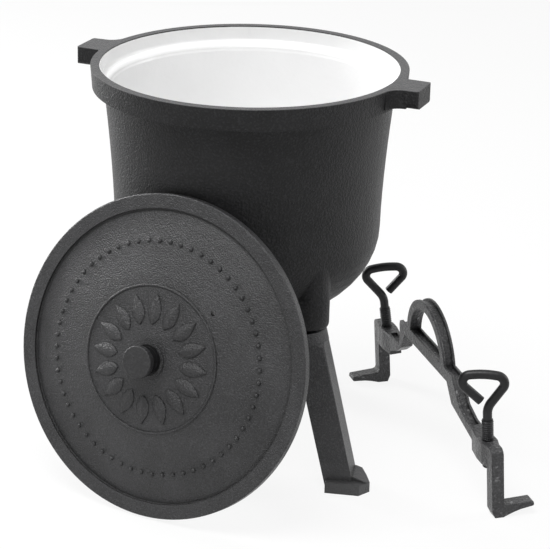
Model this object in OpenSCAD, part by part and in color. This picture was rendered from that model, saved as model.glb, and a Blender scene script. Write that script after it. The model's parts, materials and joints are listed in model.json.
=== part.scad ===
// Enamelled cast iron pot on three screwed-in legs. Its lid leans on the wall and a lid
// clamp with two bent-rod screws stands beside it.
// Millimetres, +Z up. The origin is on the pot's axis at the floor, X runs along the lugs.

/* [Pot] */
// Outer diameter of the rim band
rim_d = 290; // [284:1:300]
// Height of the rim above the floor
rim_z = 370; // [362:1:380]
// Height of the rim band
band_h = 20; // [17:1:24]
// Draft of the rim band, on the radius
band_draft = 1.5; // [0:0.5:3]
// Width of the flat top of the rim
face_w = 8; // [6:0.5:9]
// Step from the rim in to the body under the band, on the radius
neck_step = 12; // [10:1:14]
// Narrowing of the wall from the band down to the bowl, on the radius
wall_taper = 9.3; // [7:0.1:13]
// Height of the underside of the bowl above the floor
bowl_z = 130; // [126:1:134]
// Height of the rounded bowl
bowl_h = 90; // [84:1:96]
// Thickness of the wall
wall = 5; // [4:0.5:6]
// Thickness of the enamel
enamel_t = 0.8; // [0.4:0.1:1.2]

/* [Lugs] */
// Length of a lug beyond the rim
lug_out = 23; // [19:1:31]
// Width of a lug
lug_w = 35; // [30:1:40]
// Thickness of a lug
lug_t = 17; // [14:0.5:18]
// Large fillet at the root of a lug
lug_fillet = 15; // [8:1:18]
// Small fillet at the root of a lug
lug_nook = 4.5; // [3:0.5:6]

/* [Legs] */
// Distance of a leg boss's axis inside the edge of the bowl
boss_in = 17.4; // [17.2:0.1:18.7]
// Direction of the first leg boss
boss_turn = -33.2; // [-40:0.1:-30]
// Diameter of a leg boss
boss_d = 34; // [32:0.5:34]
// Rounding of the lower edge of a boss
boss_round = 6; // [4:0.5:8]
// Height of the underside of a boss above the floor
boss_z = 149; // [147:0.5:151]
// Diameter of the leg studs
stud_d = 12; // [10:0.5:12]
// Angle of a leg to the vertical
leg_lean = 15.3; // [12:0.1:16]
// Turn of the lean off the radial direction
leg_turn = 24.9; // [0:0.1:40]
// Height at which the centre line of a leg crosses its stud
cross_z = 138; // [134:0.5:140]
// Turn of the foot off the radial direction
toe_turn = 46.2; // [0:0.1:60]
// Diameter of the round head of a leg
head_d = 33; // [31:0.5:36]
// Width of the leg bar at its head, along the foot
bar_w = 27.4; // [26:0.1:29]
// Width of the leg bar at its head, across the foot
bar_d = 30.6; // [29:0.1:32]
// Length of the toe in front of the leg's centre line
toe_l = 27.5; // [24:0.5:30]
// Width of the foot
foot_w = 41; // [38:0.5:44]
// Thickness of the foot
foot_t = 11; // [9:0.5:13]

/* [Lid] */
// How much wider the lid is than the rim
lid_over = 0; // [-6:1:10]
// Thickness of the lid at its edge
lid_t = 8; // [6:0.5:9]
// Width of the flat ring round the lid
flange_w = 13; // [11:0.5:15]
// Drop from the flat ring to the foot of the dome
step_t = 2.4; // [1:0.1:3]
// Rise of the dome above the flat ring
dome_t = 20.5; // [16:0.5:24]
// Thickness of the dome
dome_wall = 5; // [4:0.5:6]
// Play of the lid's locating lip in the mouth of the pot, on the radius
lip_gap = 3; // [1.5:0.5:5]
// Height of the locating lip
lip_t = 3; // [2:0.5:3]
// Diameter of the vent hole
vent_d = 4.6; // [3:0.1:6]
// Place of the vent hole sideways from the centre
vent_x = 55; // [48:1:60]
// Place of the vent hole upwards from the centre
vent_y = 52; // [46:1:58]
// Lean of the lid to the vertical
lid_lean = 13.4; // [12:0.1:15]
// Direction in which the lid faces
lid_turn = -96.6; // [-100:0.1:-90]
// Sideways place of the lid along the pot's wall
lid_side = -8; // [-12:0.5:12]

/* [Knob] */
// Diameter of the knob's disc
knob_d = 28.8; // [26:0.2:32]
// Height of the knob's face above the flat ring
knob_t = 39; // [37:0.5:42]
// Thickness of the knob's disc
knob_disc = 6.5; // [5:0.5:8]
// Diameter of the knob's neck
neck_knob_d = 19; // [16:0.5:21]
// Diameter of the washer under the knob
washer_d = 25.4; // [23:0.1:26]
// Height of the washer's face above the flat ring
washer_t = 24.8; // [24:0.1:26]
// Outer diameter of the cast ring round the washer
ring_d = 33.2; // [31:0.2:36]
// Diameter of the knob screw
knob_screw_d = 6; // [5:0.5:7]

/* [Clamp] */
// Distance between the clamp screws
screw_span = 276.4; // [274:0.2:280]
// Diameter of the clamp screws' thread
screw_d = 10; // [9:0.5:10]
// Width of the clamp's beam
beam_w = 11.6; // [11:0.2:14]
// Width of the channel along the top of the beam
channel_w = 7; // [6:0.2:8]
// Depth of the channel
channel_t = 2.5; // [1:0.5:3]
// Height of the clamp's end blocks
block_z = 67; // [65:0.5:68]
// Height of the clamp's middle beam
beam_z = 98.5; // [96:0.5:101]
// Offset of the beam and the arch off the middle of the clamp
arch_shift = 8.6; // [0:0.2:12]
// Outer radius of the arch
arch_r = 52; // [50:0.5:54]
// Height of the arch
arch_top = 142.8; // [140:0.1:144]
// Width of the ring of the arch
arch_ring = 9; // [7:0.5:10]
// Width of a post across the clamp
post_w = 11.4; // [10:0.2:12]
// Width of a post along the clamp
post_l = 13; // [12:0.2:16]
// Length of a foot from the middle of the clamp
hook_l = 34.6; // [32:0.2:38]
// Distance of the clamp's middle beyond the rim, along the lugs
clamp_out = 31.1; // [29:0.1:41]
// Place of the clamp across the lugs
clamp_y = 59.5; // [57:0.1:66]
// Direction of the clamp
clamp_turn = 128.9; // [125:0.1:132]
// Lean of the clamp, which stands on feet that aren't square to it
clamp_lean = 4; // [0:0.5:5]
// Lean of the near bore to the clamp
near_lean = 0; // [0:0.5:4]
// Lean of the far bore to the clamp
far_lean = 4; // [0:0.5:4]

/* [Clamp screws] */
// Diameter of the bent rod
rod_d = 8.5; // [7:0.1:8.8]
// Height of the tip of a clamp screw on the clamp
tip_z = 39.8; // [36:0.2:42]
// Height of the upper end of the thread
thread_z = 87; // [82:1:90]
// Height at which the rod starts to bend
bend_z = 93; // [92:0.5:96]
// Turn of the loop of the near screw
near_turn = 15.9; // [0:0.1:360]
// Turn of the loop of the far screw
far_turn = 198.9; // [0:0.1:360]

/* [Hidden] */
$fn = 96;
fit = 0.05;
rim_r = rim_d / 2;
neck_r = rim_r - neck_step;
waist_r = neck_r - wall_taper;
lug_reach = rim_r + lug_out;
boss_out = waist_r - boss_in;
lid_r = (rim_d + lid_over) / 2;
mouth_r = rim_r - face_w;
clamp_x = rim_r + clamp_out;
band_z = rim_z - band_h;
waist_z = bowl_z + bowl_h;
lip_r = mouth_r - lip_gap;
flange_r = lid_r - flange_w;
boss_head = waist_z + 4;
stud_top = 171.5;
stud_low = 128.5;
seat_r = boss_d / 2 - 0.6 - boss_round;
seat_drop = (seat_r + boss_round * sin(leg_lean)) * tan(leg_lean);
head_z = boss_z + boss_round * (1 - cos(leg_lean)) - seat_drop - fit;
head_up = (head_z - cross_z) * cos(leg_lean);
head_t = 11;
bar_len = cross_z / cos(leg_lean);
post_u = screw_span / 2 + 17.9;
stand_z = 0.4;
pivot_z = 60;
pad_t = 1.5;
swan_r = 18;
swan_rise = 18;
corner_r = 7.5;
corner_run = 1;
side_r = 80;
side_run = 1.5;
end_r = 7;
tail_l = 19;
run_reach = 0.4;
run_slack = 0.08;
post_in = post_u - post_l / 2;
beam_u = arch_shift;
arch_z = arch_top - arch_r;

// Outer radius of the pot's body at height z, between the bowl and the band
function body_r(z) = waist_r + (neck_r - waist_r) * pow((z - waist_z) / (band_z - waist_z), 1.6);

// Points of a bowl with semi-axes a and b, from the axis up to its edge
function bowl_pts(a, b, n = 14) =
    [for (i = [0 : n]) [a * sin(90 * i / n), waist_z - b * cos(90 * i / n)]];

// Points up the wall, set in by o
function wall_pts(o, top, n = 8) =
    [for (i = [1 : n]) let (z = waist_z + (top - waist_z) * i / n) [body_r(z) - o, z]];

// Points of an arc round c from angle a0 to a1
function arc_pts(c, r, a0, a1, n = 6) =
    [for (i = [0 : n]) let (a = a0 + (a1 - a0) * i / n) [c[0] + r * cos(a), c[1] + r * sin(a)]];

// The inside of the pot, set in by o, up to height top
function cavity_pts(o, top) =
    let (ledge_z = band_z + 4, sill_r = neck_r - 4.6, turn_r = 4)
    concat(
        bowl_pts(waist_r - wall - o, bowl_h - wall - o),
        wall_pts(wall + o, ledge_z - 6),
        arc_pts([sill_r + turn_r, ledge_z - turn_r], turn_r + o, 180, 90),
        arc_pts([mouth_r - turn_r, ledge_z + turn_r], turn_r - o, -90, 0),
        [[mouth_r - o, top]]
    );

// Points for a solid of revolution closed along the axis
module turned(pts, top) {
    rotate_extrude() polygon(concat(pts, [[0, top]]));
}

// Slice of a fillet between the rim's circle and the side of a lug
module root_fillet(r) {
    y = lug_w / 2 + r;
    x = sqrt(pow(rim_r + r, 2) - y * y);
    k = rim_r / (rim_r + r);
    j = (rim_r - 6) / (rim_r + r);
    difference() {
        polygon([[rim_r - 6, lug_w / 2 - 3], [x, lug_w / 2 - 3], [x, y], [k * x, k * y], [j * x, j * y]]);
        translate([x, y]) circle(r);
    }
}

module lug() {
    c = 2.5;
    h = lug_w / 2;
    s = 5;
    intersection() {
        translate([0, 0, rim_z - lug_t]) linear_extrude(lug_t) {
            polygon([
                [rim_r - 6, -h - 1], [lug_reach - c, -h], [lug_reach, c - h],
                [lug_reach, h - c], [lug_reach - c, h], [rim_r - 6, h + 1]
            ]);
            for (m = [-1, 1]) translate([lug_reach - c, m * (h - c)]) circle(c);
        }
        translate([rim_r - 10, 0, rim_z]) rotate([90, 0, 90]) linear_extrude(60) {
            translate([-h - 2, s - lug_t]) square([2 * h + 4, lug_t - s]);
            translate([s - h, -lug_t]) square([2 * (h - s), lug_t]);
            for (m = [-1, 1]) translate([m * (h - s), s - lug_t]) circle(s);
        }
    }
    translate([0, 0, rim_z - lug_t]) linear_extrude(lug_t) {
        root_fillet(lug_nook);
        mirror([0, 1]) root_fillet(lug_fillet);
    }
}

// Boss for a leg, with a rounded lower edge and a slight draft
module boss() {
    r = boss_d / 2;
    e = boss_round;
    low = r - 0.6;
    rotate_extrude() polygon(concat(
        [[0, boss_z]],
        arc_pts([low - e, boss_z + e], e, -90, 0, 8),
        [[r, boss_head], [0, boss_head]]
    ));
}

module at_bosses(i) {
    rotate([0, 0, boss_turn + 120 * i]) translate([boss_out, 0, 0]) children();
}

module pot_body() {
    color("#2b2b2c") difference() {
        union() {
            turned(concat(
                bowl_pts(waist_r, bowl_h),
                wall_pts(0, band_z),
                [[rim_r - band_draft, band_z], [rim_r, rim_z]]
            ), rim_z);
            lug();
            rotate([0, 0, 180]) lug();
            for (i = [0 : 2]) at_bosses(i) boss();
        }
        turned(cavity_pts(0, rim_z + 1), rim_z + 1);
        for (i = [0 : 2]) at_bosses(i) translate([0, 0, boss_z - 1])
            cylinder(d = stud_d + 2 * fit, h = stud_top + 0.5 - boss_z + 1);
    }
}

module enamel_lining() {
    top = rim_z - 1;
    color("#f4f5f3") difference() {
        turned(cavity_pts(fit, top), top);
        turned(cavity_pts(fit + enamel_t, top + 1), top + 1);
    }
}

// Frame of a leg: Z runs up its leaning centre line, the origin is where that crosses the stud
module at_lean() {
    translate([0, 0, cross_z]) rotate([0, 0, leg_turn]) rotate([0, -leg_lean, 0]) children();
}

// One leg in the frame of its boss, X pointing away from the pot
module leg() {
    bw = bar_w / 2;
    bd = bar_d / 2;
    hr = head_d / 2;
    shoulder_r = hr - 0.3;
    low = -bar_len - 10;
    top = head_up - head_t;
    difference() {
        union() {
            at_lean() {
                translate([0, 0, top]) cylinder(r = hr, h = head_t);
                translate([0, 0, top - 14]) cylinder(r1 = 13, r2 = 13.4, h = 15);
            }
            intersection() {
                at_lean() intersection() {
                    rotate([0, 0, toe_turn - leg_turn]) intersection() {
                        rotate([90, 0, 0]) linear_extrude(60, center = true)
                            polygon([[-bw, top + 4], [0.9 - bw, low], [bw - 0.9, low], [bw, top + 4]]);
                        rotate([90, 0, 90]) linear_extrude(60, center = true)
                            polygon([[-bd, top + 4], [0.5 - bd, low], [bd - 0.5, low], [bd, top + 4]]);
                        translate([0, 0, low]) linear_extrude(top + 4 - low) round_box(bar_w, bar_d, 2);
                    }
                    translate([0, 0, top - 200]) cylinder(r1 = shoulder_r + 200, r2 = shoulder_r - 2, h = 202);
                }
                translate([-60, -60, 1]) cube([220, 160, cross_z + 20]);
            }
            rotate([0, 0, leg_turn]) translate([cross_z * tan(leg_lean), 0, 0])
                rotate([0, 0, toe_turn - leg_turn]) foot();
        }
        translate([0, 0, stud_low - 0.5]) cylinder(d = stud_d + 2 * fit, h = 40);
        at_lean() translate([0, 0, head_up - 2]) cylinder(r = 12, h = 6);
    }
}

module round_box(w, d, r) {
    square([w - 2 * r, d], center = true);
    square([w, d - 2 * r], center = true);
    for (x = [-1, 1], y = [-1, 1]) translate([x * (w / 2 - r), y * (d / 2 - r)]) circle(r);
}

// Foot pad: X is the direction of the toe, the origin is under the leg's centre line
module foot() {
    w = foot_w / 2;
    heel = -13.5;
    cut = 9.5;
    intersection() {
        linear_extrude(20) polygon([
            [heel, -w], [toe_l - cut, -w], [toe_l - 0.8, cut - w + 1.5], [toe_l - 5, w - 18.8],
            [toe_l - 11, w - 7], [toe_l - 18, w - 2.5], [heel, w - 2.5]
        ]);
        union() {
            rotate([90, 0, 0]) linear_extrude(60, center = true)
                polygon([[heel - 1, 0], [toe_l + 1, 0], [toe_l + 1, foot_t - 2], [12, foot_t], [heel - 1, foot_t]]);
            rotate([90, 0, 0]) linear_extrude(bar_d - 5, center = true)
                polygon([[6, 0], [toe_l + 1, 0], [toe_l + 1, foot_t - 2], [11.5, 15], [6, 15]]);
        }
    }
}

// The lid's own frame: Z out of its face, Y up along it, the origin in the plane of its flat ring
module at_lid() {
    back = lid_t + 0.1;
    rise = lid_r * cos(lid_lean);
    z0 = rise + lid_t * sin(lid_lean);
    top_z = z0 + rise - back * sin(lid_lean);
    out = sqrt(pow(body_r(top_z) + 0.1, 2) - lid_side * lid_side);
    y0 = out + lid_r * sin(lid_lean) + back * cos(lid_lean);
    rotate([0, 0, lid_turn + 90]) translate([-lid_side, -y0, z0]) rotate([90 - lid_lean, 0, 0]) children();
}

module lid() {
    dr = flange_r - 1.2;
    rise = dome_t + step_t;
    big = (dr * dr + rise * rise) / (2 * rise);
    cz = dome_t - big;
    under = big - dome_wall;
    in_r = lip_r - 7;
    color("#2b2b2c") at_lid() difference() {
        union() {
            rotate_extrude() polygon(concat(
                [[0, dome_t]],
                [for (i = [1 : 12]) let (r = dr * i / 12) [r, cz + sqrt(big * big - r * r)]],
                [[flange_r - 0.4, 0.2 - step_t], [flange_r, 0], [lid_r - 1.2, 0], [lid_r - 0.3, -0.4]],
                [[lid_r, -1.2], [lid_r, 0.6 - lid_t], [lid_r - 0.6, -lid_t], [lip_r, -lid_t]],
                [[lip_r - 0.6, -lid_t - lip_t], [in_r, -lid_t - lip_t], [in_r - 1, -lid_t - 0.5]],
                [for (i = [11 : -1 : 1]) let (r = (in_r - 4) * i / 11) [r, cz + sqrt(under * under - r * r)]],
                [[0, cz + under]]
            ));
            translate([0, 0, dome_t - dome_wall]) cylinder(d = ring_d, h = dome_wall + 0.9);
            translate([0, 0, dome_t - dome_wall - pad_t]) cylinder(r = 11, h = pad_t + 2.5);
        }
        translate([0, 0, washer_z()]) cylinder(d = washer_d + 2, h = 10);
        translate([0, 0, -5]) cylinder(d = knob_screw_d + 0.6, h = 60);
        translate([vent_x, vent_y, -10]) cylinder(d = vent_d, h = 40);
    }
}

function washer_z() = dome_t - 0.1;

module knob_washer() {
    color("#1d1d1e") at_lid() difference() {
        translate([0, 0, washer_z() + fit]) cylinder(d = washer_d, h = washer_t - washer_z() - fit);
        cylinder(d = knob_screw_d + 0.6, h = 60);
    }
}

module lid_knob() {
    r = knob_d / 2;
    n = neck_knob_d / 2;
    low = washer_t + fit;
    e = 1.2;
    color("#1a1a1b") at_lid() difference() {
        rotate_extrude() polygon(concat(
            [[0, low], [n, low], [n - 0.6, low + 1]],
            [[n - 0.6, knob_t - knob_disc - 1.5], [n + 1.2, knob_t - knob_disc]],
            arc_pts([r - e, knob_t - knob_disc + e], e, -90, 0, 4),
            arc_pts([r - e, knob_t - e], e, 0, 90, 4),
            [[0, knob_t]]
        ));
        translate([0, 0, low - 1]) cylinder(d = knob_screw_d + 2 * fit, h = knob_t - low - 3);
    }
}

module knob_screw() {
    seat = dome_t - dome_wall - pad_t - fit;
    color("#3a3a3b") at_lid() difference() {
        union() {
            translate([0, 0, seat]) cylinder(d = knob_screw_d, h = knob_t - 4.6 - seat);
            translate([0, 0, seat - 3.6]) rotate_extrude()
                polygon([[0, 0], [4.2, 0], [5.8, 1.4], [5.8, 3.6], [0, 3.6]]);
        }
        translate([-0.8, -7, seat - 4.6]) cube([1.6, 14, 2.6]);
    }
}

module leg_stud() {
    translate([0, 0, stud_low]) cylinder(d = stud_d, h = stud_top - stud_low);
}

// Side view of the clamp without its end blocks, the tops lowered by d. X runs to the far end
module clamp_side(d) {
    s = beam_u;
    bz = beam_z - d;
    kz = block_z - d;
    low = beam_z - 11.7;
    polygon([
        [-124, 47], [-112, 56.5], [s - 69.5, 69], [s - 57.5, low], [s + 59.1, low],
        [s + 70.3, 68], [96, 57], [112, 50.5], [124, 47], [146, 46], [146, kz], [s + 77, kz],
        [s + 73.5, bz - 18], [s + 73.5, bz - 6], [s + 72, bz - 1.8], [s + 68, bz], [s - 71.3, bz],
        [s - 85, 80.5 - d], [s - 89, 75.5 - d], [-99, kz + 1.5], [-124, kz]
    ]);
    difference() {
        translate([s, arch_z]) circle(arch_r - d);
        translate([s, arch_z]) circle(arch_r - arch_ring);
        translate([s - 80, arch_z - 80]) square([160, low + 4 - arch_z + 80]);
    }
}

module clamp_block(m) {
    p = screw_span / 2;
    h = post_w / 2;
    rotate([0, 0, m > 0 ? 0 : 180]) translate([0, 0, 46]) linear_extrude(block_z - 46) {
        polygon([
            [113, -beam_w / 2], [p - 8, -8], [p + 4, -8], [post_in + 2, -h], [post_u, -h],
            [post_u, h], [post_in + 2, h], [p + 4, 8], [p - 8, 8], [113, beam_w / 2]
        ]);
    }
}

// Far post with its foot, which points to +Y
module clamp_post() {
    w = post_w / 2;
    l = post_l / 2;
    c = 6;
    translate([post_u, 0, 0]) {
        intersection() {
            translate([-l, -w, -2]) cube([post_l, post_w, block_z + 2]);
            rotate([90, 0, 0]) linear_extrude(60, center = true) {
                translate([-l, -2]) square([post_l, block_z + 2 - c]);
                translate([-l, -2]) square([post_l - c, block_z + 2]);
                translate([l - c, block_z - c]) circle(c);
            }
            rotate([90, 0, 90]) linear_extrude(60, center = true)
                polygon([[3.5 - w, -2], [w, -2], [w, block_z], [-w, block_z], [-w, 6]]);
        }
        rotate([90, 0, 90]) linear_extrude(post_l, center = true) polygon([
            [0, -2], [w, -2], [w, -0.4], [w + 3.4, 0.8], [w + 9.4, 2.8], [w + 16, 4.4],
            [hook_l - 1, 5.7], [hook_l, 6.7], [hook_l - 0.5, 9.6], [hook_l - 1.5, 10.3],
            [w + 3, 10.8], [w + 0.9, 11.8], [w, 14], [0, 14]
        ]);
    }
}

// The bore for a clamp screw and the screw share this frame: Z is the bore's axis
module at_bore(i) {
    m = i == 1 ? -1 : 1;
    lean = i == 1 ? near_lean : far_lean;
    translate([m * screw_span / 2, 0, pivot_z]) rotate([-lean, 0, 0])
        translate([0, 0, -pivot_z]) children();
}

module at_clamp() {
    translate([clamp_x, clamp_y, stand_z]) rotate([0, 0, clamp_turn])
        rotate([-clamp_lean, 0, 0]) children();
}

module clamp_yoke() {
    color("#242425") difference() {
        at_clamp() difference() {
            union() {
                rotate([90, 0, 0]) linear_extrude(beam_w, center = true) clamp_side(0);
                for (m = [-1, 1]) clamp_block(m);
                clamp_post();
                rotate([0, 0, 180]) clamp_post();
            }
            rotate([90, 0, 0]) linear_extrude(channel_w, center = true) difference() {
                intersection() {
                    clamp_side(0);
                    translate([-108, 0]) square([226, 200]);
                }
                clamp_side(channel_t);
            }
            for (i = [1, 2]) at_bore(i) translate([0, 0, 30]) cylinder(d = screw_d + 2 * fit, h = 60);
        }
        translate([-100, -300, -40]) cube([600, 600, 40]);
    }
}

// Straight run, a hair thinner than the bends and reaching a little way into both of them
module rod_run(len) {
    translate([0, 0, -run_reach]) cylinder(d = rod_d - run_slack, h = len + 2 * run_reach);
    translate([0, 0, len]) children();
}

// Bend towards +X for a positive angle
module rod_bend(r, angle) {
    s = sign(angle);
    translate([s * r, 0, 0]) rotate([90, 0, 0])
        rotate_extrude(angle = -angle) translate([-s * r, 0]) circle(d = rod_d);
    translate([s * r * (1 - cos(angle)), 0, r * sin(abs(angle))]) rotate([0, angle, 0]) children();
}

module clamp_screw() {
    c = 1;
    translate([0, 0, tip_z]) cylinder(d1 = screw_d - 2 * c, d2 = screw_d, h = c);
    translate([0, 0, tip_z + c]) cylinder(d = screw_d, h = thread_z - tip_z - c);
    translate([0, 0, thread_z]) rod_run(bend_z - thread_z) rod_bend(swan_r, 36)
        rod_run(swan_rise) rod_bend(corner_r, -116) rod_run(corner_run) rod_bend(side_r, -16)
        rod_run(side_run) rod_bend(end_r, -130) rod_run(tail_l);
}

module at_screw(i) {
    turn = i == 1 ? near_turn : far_turn;
    at_clamp() at_bore(i) rotate([0, 0, turn - clamp_turn]) children();
}

module leg_1() { color("#262627") at_bosses(0) leg(); }
module leg_2() { color("#262627") at_bosses(1) leg(); }
module leg_3() { color("#262627") at_bosses(2) leg(); }
module leg_stud_1() { color("#3a3a3b") at_bosses(0) leg_stud(); }
module leg_stud_2() { color("#3a3a3b") at_bosses(1) leg_stud(); }
module leg_stud_3() { color("#3a3a3b") at_bosses(2) leg_stud(); }
module clamp_screw_1() { color("#303031") at_screw(1) clamp_screw(); }
module clamp_screw_2() { color("#303031") at_screw(2) clamp_screw(); }

pot_body();
enamel_lining();
leg_1();
leg_2();
leg_3();
leg_stud_1();
leg_stud_2();
leg_stud_3();
lid();
lid_knob();
knob_screw();
knob_washer();
clamp_yoke();
clamp_screw_1();
clamp_screw_2();
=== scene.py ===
"""Finishes, lid ornament, screw threads and studio for the enamelled cast iron pot."""

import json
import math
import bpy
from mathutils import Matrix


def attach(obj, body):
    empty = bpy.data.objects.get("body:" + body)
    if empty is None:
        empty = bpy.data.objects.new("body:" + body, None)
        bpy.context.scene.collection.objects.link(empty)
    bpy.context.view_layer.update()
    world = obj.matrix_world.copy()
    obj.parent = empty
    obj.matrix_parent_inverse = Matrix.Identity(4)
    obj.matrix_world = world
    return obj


bl_info = {
    "name": "Enamelled cast iron pot",
    "version": (1, 0, 0),
    "blender": (4, 5, 0),
    "location": "View3D > Sidebar > Pot",
    "description": "Finishes, lid ornament, screw threads and studio for a cast iron pot",
    "category": "Object",
}

import bpy
from mathutils import Matrix, Vector

MM = 0.001
STANDING = "pot_and_clamp"
SCREWS = (("near_screw_turn", "near_screw"), ("far_screw_turn", "far_screw"))

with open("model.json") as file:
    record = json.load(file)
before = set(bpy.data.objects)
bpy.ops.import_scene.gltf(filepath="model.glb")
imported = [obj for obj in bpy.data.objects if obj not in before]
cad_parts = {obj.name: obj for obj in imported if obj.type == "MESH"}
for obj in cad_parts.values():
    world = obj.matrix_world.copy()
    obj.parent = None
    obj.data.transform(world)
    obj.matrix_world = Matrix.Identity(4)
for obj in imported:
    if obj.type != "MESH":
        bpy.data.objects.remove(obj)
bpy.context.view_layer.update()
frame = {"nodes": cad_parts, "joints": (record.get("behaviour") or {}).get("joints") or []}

# The lid's own frame, as the source of the solids builds it, in millimetres
LID_R = 145
LID_T = 8
LID_LEAN = 13.4
LID_TURN = -96.6
LID_SIDE = -8
LID_GAP = 0.1
DOME_T = 20.5
DOME_FOOT_R = 130.8
DOME_RISE = 22.9
WAIST_R = 123.7
NECK_R = 133
WAIST_Z = 220
BAND_Z = 350
WALL_POWER = 1.6

# Beads, ring and leaves of the lid's ornament, in metres or as shares of a leaf's length
BEAD_R = 0.0021
RING_WIRE_R = 0.0012
LEAF_HALF_WIDTH = 0.24
LEAF_HALF_HEIGHT = 0.075
LEAF_POINT = 0.45
LEAF_TAPER = 0.3
LEAF_RIDGE = 1.25
LEAF_RIDGE_FALL = 0.6

# Surfaces: sizes in metres, and the ranges of noise that count as patch, speckle or wear
PATCH_SIZE = 0.045
PATCH_RANGE = (0.34, 0.68, 0.0, 0.42)
SPECKLE_RANGE = (0.50, 0.68, 0.0, 0.9)
SWELL_SIZE = 0.007
SWELL_DEPTH = 0.0007
SWELL_STRENGTH = 0.55
WEAR_SIZE = 0.0045
WEAR_RANGE = (0.61, 0.72)
WORN_COLOUR = (0.27, 0.27, 0.275)
BARE_COLOUR = (0.085, 0.085, 0.087)
# Painted shade: a near-black colour mixed in where ambient occlusion finds hollows within this reach
PAINTED_SHADE_COLOUR = (0.008, 0.008, 0.008)
PAINTED_SHADE_REACH = 0.006
PAINTED_SHADE_RANGE = (0.45, 0.9, 0, 1)
GRAIN_RANGE = (0.3, 0.7)
DARK_SHARE = 0.72
GROUND_RIM = (0.3694, 0.3697, 0.0, 0.75)
# Leg iron turns paler towards the foot: bare iron colour mixed in, rising from none at 30 mm height to
# 0.8 below 8 mm
PALER_LOW_LEG = (0.008, 0.030, 0.8, 0.0)
WAVE_SIZE = 0.03
WAVE_SHARE = 0.965
PEEL_SIZE = 0.004
PEEL_DEPTH = 0.00025
PEEL_STRENGTH = 0.4
ENAMEL_ROUGH = (0.1, 0.2)
ENAMEL_GLOSS = 0.3
STEEL_COLOUR = (0.22, 0.22, 0.225)
STEEL_GLOSS = 0.36
STEEL_PALE = 2.0
STEEL_PATCH_SIZE = 0.009
STEEL_PATCH_RANGE = (0.35, 0.7, 0, 0.8)
SCALE_SIZE = 0.0018
SCALE_DEPTH = 0.00012
# Painted highlight: the thread ridges take the rod colour made this many times paler, for the glints
# along the thread
THREAD_HIGHLIGHT_GAIN = 3

# Studio: lamps as name, size, place and aim in metres, the floor, and the camera in
# metres with its lens and sensor in millimetres
LAMPS = (
    ("key", (0.5, 1.5), (-1.9, 0.5, 0.9), (0, 0, 0.2)),
    ("side", (0.5, 1.4), (1.7, 1.1, 0.8), (0.05, 0, 0.2)),
    ("top", (1.3, 1.0), (-0.2, -0.75, 2.1), (0.0, -0.05, 0.2)),
)
FLOOR_HALF = 6
FLOOR_WHITE = 0.88
CAMERA_PLACE = (0.7535, -1.7838, 0.9095)
CAMERA_RIGHT = (0.92327, 0.38360, 0.02072)
CAMERA_UP = (-0.15550, 0.32386, 0.93326)
LENS = 144
SENSOR = 36
NEAR_CLIP = 0.05


def lid_matrix():
    """Where the lid stands: Z out of its face, Y up along it, the origin in its flat ring."""
    lean = math.radians(LID_LEAN)
    back = LID_T + LID_GAP
    rise = LID_R * math.cos(lean)
    middle_z = rise + LID_T * math.sin(lean)
    touch_z = middle_z + rise - back * math.sin(lean)
    share = (touch_z - WAIST_Z) / (BAND_Z - WAIST_Z)
    wall_r = WAIST_R + (NECK_R - WAIST_R) * share ** WALL_POWER + LID_GAP
    out = math.sqrt(wall_r**2 - LID_SIDE**2)
    away = out + LID_R * math.sin(lean) + back * math.cos(lean)
    turn = Matrix.Rotation(math.radians(LID_TURN + 90), 4, "Z")
    place = Matrix.Translation(Vector((-LID_SIDE, -away, middle_z)) * MM)
    return turn @ place @ Matrix.Rotation(math.pi / 2 - lean, 4, "X")


def dome_radius():
    """Radius of the sphere that the lid's dome is part of, in metres."""
    return (DOME_FOOT_R**2 + DOME_RISE**2) / (2 * DOME_RISE) * MM


class PotFinish(bpy.types.PropertyGroup):
    iron_colour: bpy.props.FloatVectorProperty(
        name="Iron colour", description="Colour of the black cast iron",
        subtype="COLOR", size=3, min=0, max=1, default=(0.014, 0.014, 0.0147))
    clamp_colour: bpy.props.FloatVectorProperty(
        name="Clamp colour", description="Colour of the bare iron of the clamp",
        subtype="COLOR", size=3, min=0, max=1, default=(0.048, 0.048, 0.050))
    rod_colour: bpy.props.FloatVectorProperty(
        name="Rod colour", description="Colour of the blackened screws",
        subtype="COLOR", size=3, min=0, max=1, default=(0.010, 0.010, 0.0106))
    enamel_colour: bpy.props.FloatVectorProperty(
        name="Enamel colour", description="Colour of the enamel",
        subtype="COLOR", size=3, min=0, max=1, default=(0.90, 0.90, 0.90))
    grain_size: bpy.props.FloatProperty(
        name="Grain size", description="Size of the sand grain on the iron",
        unit="LENGTH", min=0.0003, max=0.004, default=0.0026)
    grain_depth: bpy.props.FloatProperty(
        name="Grain depth", description="Depth of the sand grain on the iron",
        unit="LENGTH", min=0, max=0.002, default=0.0012)


class LidOrnament(bpy.types.PropertyGroup):
    leaf_count: bpy.props.IntProperty(
        name="Leaves", description="Number of leaves round the knob",
        min=6, max=32, default=16)
    leaf_radius: bpy.props.FloatProperty(
        name="Leaf ring radius", description="Distance from the knob to the middle of a leaf",
        unit="LENGTH", min=0.03, max=0.07, default=0.045)
    leaf_length: bpy.props.FloatProperty(
        name="Leaf length", description="Length of a leaf",
        unit="LENGTH", min=0.01, max=0.04, default=0.027)
    ring_radius: bpy.props.FloatProperty(
        name="Ring radius", description="Radius of the raised ring round the leaves",
        unit="LENGTH", min=0.05, max=0.072, default=0.0655)
    bead_count: bpy.props.IntProperty(
        name="Beads", description="Number of beads in the outer ring",
        min=12, max=90, default=60)
    bead_radius: bpy.props.FloatProperty(
        name="Bead ring radius", description="Radius of the ring of beads",
        unit="LENGTH", min=0.08, max=0.12, default=0.104)


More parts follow.
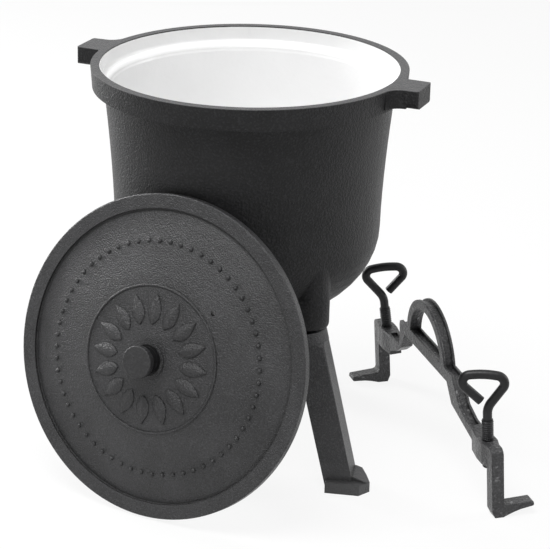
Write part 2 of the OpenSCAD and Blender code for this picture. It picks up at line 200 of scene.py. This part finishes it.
class ScrewThread(bpy.types.PropertyGroup):
    pitch: bpy.props.FloatProperty(
        name="Pitch", description="Distance from one ridge of the thread to the next",
        unit="LENGTH", min=0.001, max=0.0025, default=0.0021)
    radius: bpy.props.FloatProperty(
        name="Radius", description="Radius of the threaded rod",
        unit="LENGTH", min=0.004, max=0.006, default=0.005)
    ridge: bpy.props.FloatProperty(
        name="Ridge", description="Half the width of a ridge of the thread",
        unit="LENGTH", min=0.0002, max=0.0008, default=0.0005)
    low: bpy.props.FloatProperty(
        name="Lower end", description="Lower end of the visible thread above the joint",
        unit="LENGTH", min=0.007, max=0.012, default=0.0085)
    high: bpy.props.FloatProperty(
        name="Upper end", description="Upper end of the visible thread above the joint",
        unit="LENGTH", min=0.02, max=0.0265, default=0.026)


class Studio(bpy.types.PropertyGroup):
    key_power: bpy.props.FloatProperty(
        name="Key light", description="Power of the large lamp on the left",
        subtype="POWER", min=0, max=200, default=38)
    side_power: bpy.props.FloatProperty(
        name="Side light", description="Power of the large lamp on the right",
        subtype="POWER", min=0, max=200, default=13)
    top_power: bpy.props.FloatProperty(
        name="Top light", description="Power of the lamp overhead",
        subtype="POWER", min=0, max=200, default=42)
    world_strength: bpy.props.FloatProperty(
        name="Room light", description="Strength of the light all round",
        min=0, max=2, default=0.17)
    floor_colour: bpy.props.FloatVectorProperty(
        name="Floor colour", description="Colour of the floor",
        subtype="COLOR", size=3, min=0, max=1, default=(0.9, 0.9, 0.9))


def link(tree, a, b):
    tree.links.new(a, b)


def add(tree, kind, **settings):
    """Adds a node and sets its properties."""
    node = tree.nodes.new(kind)
    for name, value in settings.items():
        setattr(node, name, value)
    return node


def new_material(name):
    material = bpy.data.materials.new(name)
    material.use_nodes = True
    tree = material.node_tree
    return material, tree, tree.nodes["Principled BSDF"]


def noise(tree, size, detail, coordinates):
    """A noise whose features are about size across, in metres."""
    node = add(tree, "ShaderNodeTexNoise")
    node.inputs["Scale"].default_value = 1 / size
    node.inputs["Detail"].default_value = detail
    link(tree, coordinates, node.inputs["Vector"])
    return node


def spread(tree, source, low, high, out_low, out_high):
    """Maps a share of the source's range onto another range."""
    node = add(tree, "ShaderNodeMapRange")
    values = (("From Min", low), ("From Max", high), ("To Min", out_low), ("To Max", out_high))
    for name, value in values:
        node.inputs[name].default_value = value
    link(tree, source, node.inputs["Value"])
    return node.outputs["Result"]


def mixed_colour(tree, share, first, second):
    """Goes from the first colour to the second, each a socket or three numbers."""
    node = add(tree, "ShaderNodeMix", data_type="RGBA")
    sockets = [socket for socket in node.inputs if socket.type == "RGBA"]
    for socket, colour in zip(sockets, (first, second)):
        if isinstance(colour, tuple):
            socket.default_value = (*colour, 1)
        else:
            link(tree, colour, socket)
    link(tree, share, node.inputs["Factor"])
    return [socket for socket in node.outputs if socket.type == "RGBA"][0]


def scaled(colour, factor):
    return tuple(part * factor for part in colour)


def bump(tree, height, depth, strength=1.0, under=None):
    """A bump of the height, on top of the normal under it, as a normal."""
    node = add(tree, "ShaderNodeBump")
    node.inputs["Distance"].default_value = depth
    node.inputs["Strength"].default_value = strength
    link(tree, height, node.inputs["Height"])
    if under:
        link(tree, under, node.inputs["Normal"])
    return node.outputs["Normal"]


def shaded(tree, base, own=False):
    """Paints shade into a colour in the hollows, or with own only in the hollows of the piece itself.
    """
    shade_probe = add(tree, "ShaderNodeAmbientOcclusion", samples=6, only_local=own)
    shade_probe.inputs["Distance"].default_value = PAINTED_SHADE_REACH
    return mixed_colour(tree, spread(tree, shade_probe.outputs["AO"], *PAINTED_SHADE_RANGE), PAINTED_SHADE_COLOUR, base)


def iron(name, colour, finish, rough, light=1.9, wear=0.0, grain=1.0, edge=0.0008, gloss=0.42,
         bare=None, own=False):
    """Cast iron with a sand grain, soft swells, speckle and painted shade in its hollows.

    light is how much paler the speckle is, wear the share of worn spots, edge the
    radius of the soft edges, and bare two heights and the share of bare iron at each.
    """
    material, tree, shader = new_material(name)
    place = add(tree, "ShaderNodeTexCoord").outputs["Object"]
    fine = noise(tree, finish.grain_size * grain, 3, place)
    swell = noise(tree, SWELL_SIZE, 2, place)
    patch = noise(tree, PATCH_SIZE, 3, place)
    tone = spread(tree, patch.outputs["Fac"], *PATCH_RANGE)
    speckle = spread(tree, fine.outputs["Fac"], *SPECKLE_RANGE)
    total = add(tree, "ShaderNodeMath", operation="ADD", use_clamp=True)
    link(tree, tone, total.inputs[0])
    link(tree, speckle, total.inputs[1])
    base = mixed_colour(tree, total.outputs[0], scaled(colour, DARK_SHARE), scaled(colour, light))
    if wear:
        worn = spread(tree, noise(tree, WEAR_SIZE, 4, place).outputs["Fac"], *WEAR_RANGE, 0.0, wear)
        base = mixed_colour(tree, worn, base, WORN_COLOUR)
    if bare:
        height = add(tree, "ShaderNodeSeparateXYZ")
        link(tree, place, height.inputs[0])
        base = mixed_colour(tree, spread(tree, height.outputs["Z"], *bare), base, BARE_COLOUR)
    link(tree, shaded(tree, base, own), shader.inputs["Base Color"])
    shader.inputs["Specular IOR Level"].default_value = gloss
    roughness = spread(tree, fine.outputs["Fac"], *GRAIN_RANGE, rough - 0.07, rough + 0.1)
    link(tree, roughness, shader.inputs["Roughness"])
    soft_edge = add(tree, "ShaderNodeBevel", samples=4)
    soft_edge.inputs["Radius"].default_value = edge
    swells = bump(tree, swell.outputs["Fac"], SWELL_DEPTH, SWELL_STRENGTH, soft_edge.outputs["Normal"])
    grains = bump(tree, fine.outputs["Fac"], finish.grain_depth, under=swells)
    link(tree, grains, shader.inputs["Normal"])
    return material


def enamel(name, colour):
    """Glossy fused enamel with a slow unevenness."""
    material, tree, shader = new_material(name)
    place = add(tree, "ShaderNodeTexCoord").outputs["Object"]
    wave = noise(tree, WAVE_SIZE, 2, place).outputs["Fac"]
    peel = noise(tree, PEEL_SIZE, 2, place).outputs["Fac"]
    base = mixed_colour(tree, wave, scaled(colour, WAVE_SHARE), colour)
    link(tree, base, shader.inputs["Base Color"])
    link(tree, spread(tree, wave, *GRAIN_RANGE, *ENAMEL_ROUGH), shader.inputs["Roughness"])
    shader.inputs["Specular IOR Level"].default_value = ENAMEL_GLOSS
    link(tree, bump(tree, peel, PEEL_DEPTH, PEEL_STRENGTH), shader.inputs["Normal"])
    return material


def steel(name, colour, rough, metal):
    """Drawn steel rod with a dark skin and a fine scale."""
    material, tree, shader = new_material(name)
    place = add(tree, "ShaderNodeTexCoord").outputs["Object"]
    scale = noise(tree, SCALE_SIZE, 3, place).outputs["Fac"]
    patch = noise(tree, STEEL_PATCH_SIZE, 2, place).outputs["Fac"]
    share = spread(tree, patch, *STEEL_PATCH_RANGE)
    base = mixed_colour(tree, share, colour, scaled(colour, STEEL_PALE))
    link(tree, base, shader.inputs["Base Color"])
    roughness = spread(tree, scale, *GRAIN_RANGE, rough - 0.06, rough + 0.1)
    link(tree, roughness, shader.inputs["Roughness"])
    shader.inputs["Metallic"].default_value = metal
    shader.inputs["Specular IOR Level"].default_value = STEEL_GLOSS
    link(tree, bump(tree, scale, SCALE_DEPTH), shader.inputs["Normal"])
    return material


def dress(material, *nodes):
    """Gives CAD nodes a material in place of their own."""
    for name in nodes:
        mesh = frame["nodes"][name].data
        mesh.materials.clear()
        mesh.materials.append(material)


def new_tree(name, inputs):
    """A geometry tree with named inputs, and the identifier of each."""
    tree = bpy.data.node_groups.new(name, "GeometryNodeTree")
    tree.interface.new_socket("Geometry", in_out="OUTPUT", socket_type="NodeSocketGeometry")
    found = {}
    for label, kind, description in inputs:
        item = tree.interface.new_socket(
            label, in_out="INPUT", socket_type=kind, description=description)
        found[label] = item.identifier
    return tree, found, tree.nodes.new("NodeGroupInput"), tree.nodes.new("NodeGroupOutput")


def close_tree(tree, geometry, group_in, group_out):
    """Ends a tree in Realize Instances and Set Material."""
    real = add(tree, "GeometryNodeRealizeInstances")
    paint = add(tree, "GeometryNodeSetMaterial")
    smooth = add(tree, "GeometryNodeSetShadeSmooth")
    link(tree, geometry, real.inputs[0])
    link(tree, real.outputs[0], smooth.inputs["Geometry"])
    link(tree, smooth.outputs[0], paint.inputs["Geometry"])
    link(tree, group_in.outputs["Finish"], paint.inputs["Material"])
    link(tree, paint.outputs[0], group_out.inputs[0])


def grown(tree, ids, values, name):
    """Evaluates a tree on an empty mesh and returns its result as a plain object."""
    seed = bpy.data.objects.new(name + "_seed", bpy.data.meshes.new(name + "_seed"))
    bpy.context.scene.collection.objects.link(seed)
    modifier = seed.modifiers.new("Grow", "NODES")
    modifier.node_group = tree
    for label, value in values.items():
        modifier[ids[label]] = value
    bpy.context.view_layer.update()
    graph = bpy.context.evaluated_depsgraph_get()
    mesh = bpy.data.meshes.new_from_object(seed.evaluated_get(graph))
    seed.modifiers.remove(modifier)
    bpy.data.objects.remove(seed)
    if not mesh.polygons:
        raise RuntimeError(f"{name} came out empty")
    mesh.name = name
    piece = bpy.data.objects.new(name, mesh)
    bpy.context.scene.collection.objects.link(piece)
    return piece


def arithmetic(tree, operation, a, b=None):
    """A Math node whose operands are sockets or numbers."""
    node = add(tree, "ShaderNodeMath", operation=operation)
    for socket, value in zip(node.inputs, (a, b)):
        if isinstance(value, (int, float)):
            socket.default_value = value
        elif value is not None:
            link(tree, value, socket)
    return node.outputs[0]


def dome_points(tree, count, radius, dome):
    """Points evenly round the lid's dome, the turn that lays an instance on it, and their height."""
    circle = add(tree, "GeometryNodeMeshCircle")
    link(tree, count, circle.inputs["Vertices"])
    link(tree, radius, circle.inputs["Radius"])
    square = arithmetic(tree, "SUBTRACT", arithmetic(tree, "MULTIPLY", dome, dome),
                        arithmetic(tree, "MULTIPLY", radius, radius))
    drop = arithmetic(tree, "SUBTRACT", arithmetic(tree, "SQRT", square), dome)
    height = arithmetic(tree, "ADD", drop, DOME_T * MM)
    lift = add(tree, "ShaderNodeCombineXYZ")
    link(tree, height, lift.inputs["Z"])
    place = add(tree, "GeometryNodeSetPosition")
    link(tree, circle.outputs[0], place.inputs["Geometry"])
    link(tree, lift.outputs[0], place.inputs["Offset"])
    position = add(tree, "GeometryNodeInputPosition").outputs[0]
    centre = add(tree, "ShaderNodeCombineXYZ")
    link(tree, arithmetic(tree, "SUBTRACT", DOME_T * MM, dome), centre.inputs["Z"])
    out = add(tree, "ShaderNodeVectorMath", operation="SUBTRACT")
    link(tree, position, out.inputs[0])
    link(tree, centre.outputs[0], out.inputs[1])
    first = add(tree, "FunctionNodeAlignRotationToVector", axis="X", pivot_axis="Z")
    link(tree, position, first.inputs["Vector"])
    second = add(tree, "FunctionNodeAlignRotationToVector", axis="Z", pivot_axis="Y")
    link(tree, first.outputs[0], second.inputs["Rotation"])
    link(tree, out.outputs[0], second.inputs["Vector"])
    return place.outputs[0], second.outputs[0], height


def leaf_mesh(tree, length):
    """A pointed leaf along X with a ridge down its middle, closed all round."""
    ball = add(tree, "GeometryNodeMeshUVSphere")
    ball.inputs["Segments"].default_value = 20
    ball.inputs["Rings"].default_value = 22
    ball.inputs["Radius"].default_value = 1
    lay = add(tree, "GeometryNodeTransform")
    lay.inputs["Rotation"].default_value = (0, math.pi / 2, 0)
    link(tree, ball.outputs[0], lay.inputs["Geometry"])
    separate = add(tree, "ShaderNodeSeparateXYZ")
    link(tree, add(tree, "GeometryNodeInputPosition").outputs[0], separate.inputs[0])
    x, y, z = separate.outputs
    round_part = arithmetic(tree, "SUBTRACT", 1, arithmetic(tree, "MULTIPLY", x, x))
    above_zero = arithmetic(tree, "MAXIMUM", round_part, 0.0001)
    pointed = arithmetic(tree, "POWER", above_zero, LEAF_POINT)
    thinner = arithmetic(tree, "SUBTRACT", 1, arithmetic(tree, "MULTIPLY", x, LEAF_TAPER))
    taper = arithmetic(tree, "MULTIPLY", pointed, thinner)
    fall = arithmetic(tree, "MULTIPLY", arithmetic(tree, "ABSOLUTE", y), LEAF_RIDGE_FALL)
    ridge = arithmetic(tree, "SUBTRACT", LEAF_RIDGE, fall)
    joined = add(tree, "ShaderNodeCombineXYZ")
    half = arithmetic(tree, "MULTIPLY", length, 0.5)
    link(tree, arithmetic(tree, "MULTIPLY", x, half), joined.inputs["X"])
    wide = arithmetic(tree, "MULTIPLY", arithmetic(tree, "MULTIPLY", y, taper), length)
    link(tree, arithmetic(tree, "MULTIPLY", wide, LEAF_HALF_WIDTH), joined.inputs["Y"])
    tall = arithmetic(tree, "MULTIPLY", arithmetic(tree, "MULTIPLY", z, ridge), length)
    link(tree, arithmetic(tree, "MULTIPLY", tall, LEAF_HALF_HEIGHT), joined.inputs["Z"])
    shape = add(tree, "GeometryNodeSetPosition")
    link(tree, lay.outputs[0], shape.inputs["Geometry"])
    link(tree, joined.outputs[0], shape.inputs["Position"])
    return shape.outputs[0]


def instances(tree, points, turn, shape):
    node = add(tree, "GeometryNodeInstanceOnPoints")
    link(tree, points, node.inputs["Points"])
    link(tree, turn, node.inputs["Rotation"])
    link(tree, shape, node.inputs["Instance"])
    return node.outputs[0]


def ornament_tree():
    """Leaves round the knob, a raised ring and a ring of beads, all laid on the dome."""
    tree, ids, start, end = new_tree("Lid ornament", (
        ("Finish", "NodeSocketMaterial", "Material of the ornament"),
        ("Leaves", "NodeSocketInt", "Number of leaves"),
        ("Leaf ring radius", "NodeSocketFloat", "Distance of the leaves from the knob"),
        ("Leaf length", "NodeSocketFloat", "Length of a leaf"),
        ("Ring radius", "NodeSocketFloat", "Radius of the raised ring"),
        ("Beads", "NodeSocketInt", "Number of beads"),
        ("Bead ring radius", "NodeSocketFloat", "Radius of the ring of beads"),
        ("Dome radius", "NodeSocketFloat", "Radius of the sphere of the dome")))
    given = start.outputs
    dome = given["Dome radius"]
    points, turn, _ = dome_points(tree, given["Leaves"], given["Leaf ring radius"], dome)
    leaves = instances(tree, points, turn, leaf_mesh(tree, given["Leaf length"]))
    points, turn, _ = dome_points(tree, given["Beads"], given["Bead ring radius"], dome)
    bead = add(tree, "GeometryNodeMeshIcoSphere")
    bead.inputs["Radius"].default_value = BEAD_R
    bead.inputs["Subdivisions"].default_value = 3
    beads = instances(tree, points, turn, bead.outputs[0])
    _, _, height = dome_points(tree, given["Beads"], given["Ring radius"], dome)
    circle = add(tree, "GeometryNodeCurvePrimitiveCircle")
    circle.inputs["Resolution"].default_value = 160
    link(tree, given["Ring radius"], circle.inputs["Radius"])
    lift = add(tree, "ShaderNodeCombineXYZ")
    link(tree, height, lift.inputs["Z"])
    raised = add(tree, "GeometryNodeTransform")
    link(tree, circle.outputs[0], raised.inputs["Geometry"])
    link(tree, lift.outputs[0], raised.inputs["Translation"])
    profile = add(tree, "GeometryNodeCurvePrimitiveCircle")
    profile.inputs["Resolution"].default_value = 12
    profile.inputs["Radius"].default_value = RING_WIRE_R
    ring = add(tree, "GeometryNodeCurveToMesh")
    link(tree, raised.outputs[0], ring.inputs["Curve"])
    link(tree, profile.outputs[0], ring.inputs["Profile Curve"])
    join = add(tree, "GeometryNodeJoinGeometry")
    for part in (leaves, beads, ring.outputs[0]):
        link(tree, part, join.inputs[0])
    close_tree(tree, join.outputs[0], start, end)
    return tree, ids


def thread_tree():
    """A helical ridge round the Z axis."""
    tree, ids, start, end = new_tree("Screw thread", (
        ("Finish", "NodeSocketMaterial", "Material of the thread"),
        ("Radius", "NodeSocketFloat", "Radius of the rod"),
        ("Ridge", "NodeSocketFloat", "Half the width of the ridge"),
        ("Pitch", "NodeSocketFloat", "Distance from ridge to ridge"),
        ("Length", "NodeSocketFloat", "Length of the thread")))
    turns = arithmetic(tree, "DIVIDE", start.outputs["Length"], start.outputs["Pitch"])
    spiral = add(tree, "GeometryNodeCurveSpiral")
    spiral.inputs["Resolution"].default_value = 40
    for name in ("Start Radius", "End Radius"):
        link(tree, start.outputs["Radius"], spiral.inputs[name])
    link(tree, turns, spiral.inputs["Rotations"])
    link(tree, start.outputs["Length"], spiral.inputs["Height"])
    profile = add(tree, "GeometryNodeCurvePrimitiveCircle")
    profile.inputs["Resolution"].default_value = 8
    link(tree, start.outputs["Ridge"], profile.inputs["Radius"])
    sweep = add(tree, "GeometryNodeCurveToMesh")
    sweep.inputs["Fill Caps"].default_value = True
    link(tree, spiral.outputs[0], sweep.inputs["Curve"])
    link(tree, profile.outputs[0], sweep.inputs["Profile Curve"])
    close_tree(tree, sweep.outputs[0], start, end)
    return tree, ids


class POT_OT_iron(bpy.types.Operator):
    """Gives the pot, legs, lid, knob and studs their iron and steel"""
    bl_idname = "pot.iron"
    bl_label = "Pot and lid iron"

    def execute(self, context):
        finish = context.scene.pot_finish
        colour = tuple(finish.iron_colour)
        pot = iron("Black cast iron", colour, finish, 0.44, grain=0.75, gloss=0.2, bare=GROUND_RIM)
        lid = iron("Lid iron", scaled(colour, 1.75), finish, 0.32, light=2.1, grain=0.5)
        legs = iron("Leg iron", scaled(colour, 1.9), finish, 0.42, light=2.1, grain=0.6,
                    edge=0.0016, bare=PALER_LOW_LEG, own=True)
        knob = iron("Knob iron", scaled(colour, 1.6), finish, 0.46, light=1.4)
        dress(pot, "pot_body")
        dress(lid, "lid")
        dress(legs, "leg_1", "leg_2", "leg_3")
        dress(knob, "lid_knob")
        dress(steel("Plain steel", STEEL_COLOUR, 0.4, 1.0),
              "leg_stud_1", "leg_stud_2", "leg_stud_3", "knob_screw")
        return {"FINISHED"}


class POT_OT_enamel(bpy.types.Operator):
    """Gives the inside of the pot its white enamel"""
    bl_idname = "pot.enamel"
    bl_label = "Enamel lining"

    def execute(self, context):
        colour = tuple(context.scene.pot_finish.enamel_colour)
        dress(enamel("White enamel", colour), "enamel_lining")
        return {"FINISHED"}


class POT_OT_clamp(bpy.types.Operator):
    """Gives the clamp, its screws and the washer their finish"""
    bl_idname = "pot.clamp"
    bl_label = "Lid clamp"

    def execute(self, context):
        finish = context.scene.pot_finish
        clamp = iron("Clamp iron", tuple(finish.clamp_colour), finish, 0.31, light=1.6,
                     wear=0.8, grain=0.9, edge=0.0021, gloss=0.36, own=True)
        rod = steel("Blackened rod", tuple(finish.rod_colour), 0.38, 0.25)
        # The thread's material is the rod's steel made paler, a painted highlight along the ridges
        steel("Worn thread", scaled(finish.rod_colour, THREAD_HIGHLIGHT_GAIN), 0.28, 0.5)
        dress(clamp, "clamp_yoke")
        dress(rod, "clamp_screw_1", "clamp_screw_2", "knob_washer")
        return {"FINISHED"}


class POT_OT_ornament(bpy.types.Operator):
    """Grows the leaves, ring and beads on the lid"""
    bl_idname = "pot.ornament"
    bl_label = "Lid ornament"

    def execute(self, context):
        wish = context.scene.lid_ornament
        tree, ids = ornament_tree()
        piece = grown(tree, ids, {
            "Finish": bpy.data.materials["Lid iron"],
            "Leaves": wish.leaf_count,
            "Leaf ring radius": wish.leaf_radius,
            "Leaf length": wish.leaf_length,
            "Ring radius": wish.ring_radius,
            "Beads": wish.bead_count,
            "Bead ring radius": wish.bead_radius,
            "Dome radius": dome_radius(),
        }, "lid_ornament")
        piece.data.transform(lid_matrix())
        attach(piece, STANDING)
        return {"FINISHED"}


class POT_OT_threads(bpy.types.Operator):
    """Winds the thread round each clamp screw, on the axis of its joint"""
    bl_idname = "pot.threads"
    bl_label = "Screw threads"

    def execute(self, context):
        wish = context.scene.screw_thread
        tree, ids = thread_tree()
        joints = {joint["name"]: joint for joint in frame["joints"]}
        for joint_name, body in SCREWS:
            joint = joints[joint_name]
            piece = grown(tree, ids, {
                "Finish": bpy.data.materials["Worn thread"],
                "Radius": wish.radius,
                "Ridge": wish.ridge,
                "Pitch": wish.pitch,
                "Length": wish.high - wish.low,
            }, body + "_thread")
            axis = Vector(joint["axis"])
            turn = axis.to_track_quat("Z", "Y").to_matrix().to_4x4()
            place = Matrix.Translation(Vector(joint["pos_m"]) + axis * wish.low)
            piece.data.transform(place @ turn)
            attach(piece, body)
        return {"FINISHED"}


def lamp(name, power, size, place, aim):
    data = bpy.data.lights.new(name, "AREA")
    data.energy = power
    data.shape = "RECTANGLE"
    data.size, data.size_y = size
    thing = bpy.data.objects.new(name, data)
    bpy.context.scene.collection.objects.link(thing)
    thing.location = place
    thing.rotation_euler = (Vector(aim) - Vector(place)).to_track_quat("-Z", "Y").to_euler()


def white_where_seen(tree, own, strength=1.0):
    """Mixes the shader with plain white for camera, glossy and transmission rays."""
    path = add(tree, "ShaderNodeLightPath")
    seen = arithmetic(tree, "MAXIMUM", path.outputs["Is Camera Ray"], path.outputs["Is Glossy Ray"])
    seen = arithmetic(tree, "MAXIMUM", seen, path.outputs["Is Transmission Ray"])
    glow = add(tree, "ShaderNodeEmission")
    glow.inputs["Strength"].default_value = 1
    mix = add(tree, "ShaderNodeMixShader")
    link(tree, arithmetic(tree, "MULTIPLY", seen, strength), mix.inputs[0])
    link(tree, own, mix.inputs[1])
    link(tree, glow.outputs[0], mix.inputs[2])
    return mix.outputs[0]


class POT_OT_studio(bpy.types.Operator):
    """Lays the floor and sets the room light, lamps and camera"""
    bl_idname = "pot.studio"
    bl_label = "Studio"

    def execute(self, context):
        wish = context.scene.studio
        mesh = bpy.data.meshes.new("floor")
        half = FLOOR_HALF
        corners = [(-half, -half, 0), (half, -half, 0), (half, half, 0), (-half, half, 0)]
        mesh.from_pydata(corners, [], [(0, 1, 2, 3)])
        floor = bpy.data.objects.new("floor", mesh)
        context.scene.collection.objects.link(floor)
        material, tree, shader = new_material("Floor")
        shader.inputs["Base Color"].default_value = (*wish.floor_colour, 1)
        shader.inputs["Roughness"].default_value = 0.9
        output = tree.nodes["Material Output"]
        link(tree, white_where_seen(tree, shader.outputs[0], FLOOR_WHITE), output.inputs["Surface"])
        mesh.materials.append(material)
        world = bpy.data.worlds.new("Room")
        world.use_nodes = True
        context.scene.world = world
        room = world.node_tree
        light = room.nodes["Background"]
        light.inputs["Color"].default_value = (1, 1, 1, 1)
        light.inputs["Strength"].default_value = wish.world_strength
        surface = white_where_seen(room, light.outputs[0])
        link(room, surface, room.nodes["World Output"].inputs["Surface"])
        for name, size, place, aim in LAMPS:
            lamp(name, getattr(wish, name + "_power"), size, place, aim)
        data = bpy.data.cameras.new("camera")
        data.lens = LENS
        data.sensor_width = SENSOR
        data.clip_start = NEAR_CLIP
        camera = bpy.data.objects.new("camera", data)
        context.scene.collection.objects.link(camera)
        right = Vector(CAMERA_RIGHT)
        up = Vector(CAMERA_UP)
        back = right.cross(up).normalized()
        turned = Matrix((right, up, back)).transposed().to_4x4()
        camera.matrix_world = Matrix.Translation(CAMERA_PLACE) @ turned
        context.scene.camera = camera
        context.scene.view_settings.view_transform = "Standard"
        return {"FINISHED"}


OPERATORS = (
    POT_OT_iron,
    POT_OT_enamel,
    POT_OT_clamp,
    POT_OT_ornament,
    POT_OT_threads,
    POT_OT_studio,
)
GROUPS = (
    ("pot_finish", PotFinish),
    ("lid_ornament", LidOrnament),
    ("screw_thread", ScrewThread),
    ("studio", Studio),
)


class POT_PT_sidebar(bpy.types.Panel):
    bl_label = "Cast iron pot"
    bl_idname = "POT_PT_sidebar"
    bl_space_type = "VIEW_3D"
    bl_region_type = "UI"
    bl_category = "Pot"

    def draw(self, context):
        for operator in OPERATORS:
            self.layout.operator(operator.bl_idname)
        for group, _ in GROUPS:
            settings = getattr(context.scene, group)
            box = self.layout.box()
            for name in settings.bl_rna.properties.keys():
                if name not in ("rna_type", "name"):
                    box.prop(settings, name)


def register():
    for name, group in GROUPS:
        bpy.utils.register_class(group)
        setattr(bpy.types.Scene, name, bpy.props.PointerProperty(type=group))
    for operator in OPERATORS:
        bpy.utils.register_class(operator)
    bpy.utils.register_class(POT_PT_sidebar)


def unregister():
    bpy.utils.unregister_class(POT_PT_sidebar)
    for operator in reversed(OPERATORS):
        bpy.utils.unregister_class(operator)
    for name, group in reversed(GROUPS):
        delattr(bpy.types.Scene, name)
        bpy.utils.unregister_class(group)


def main():
    register()
    bpy.ops.pot.iron()
    bpy.ops.pot.enamel()
    bpy.ops.pot.clamp()
    bpy.ops.pot.ornament()
    bpy.ops.pot.threads()
    bpy.ops.pot.studio()
    bpy.context.view_layer.update()


if __name__ == "__main__":
    main()
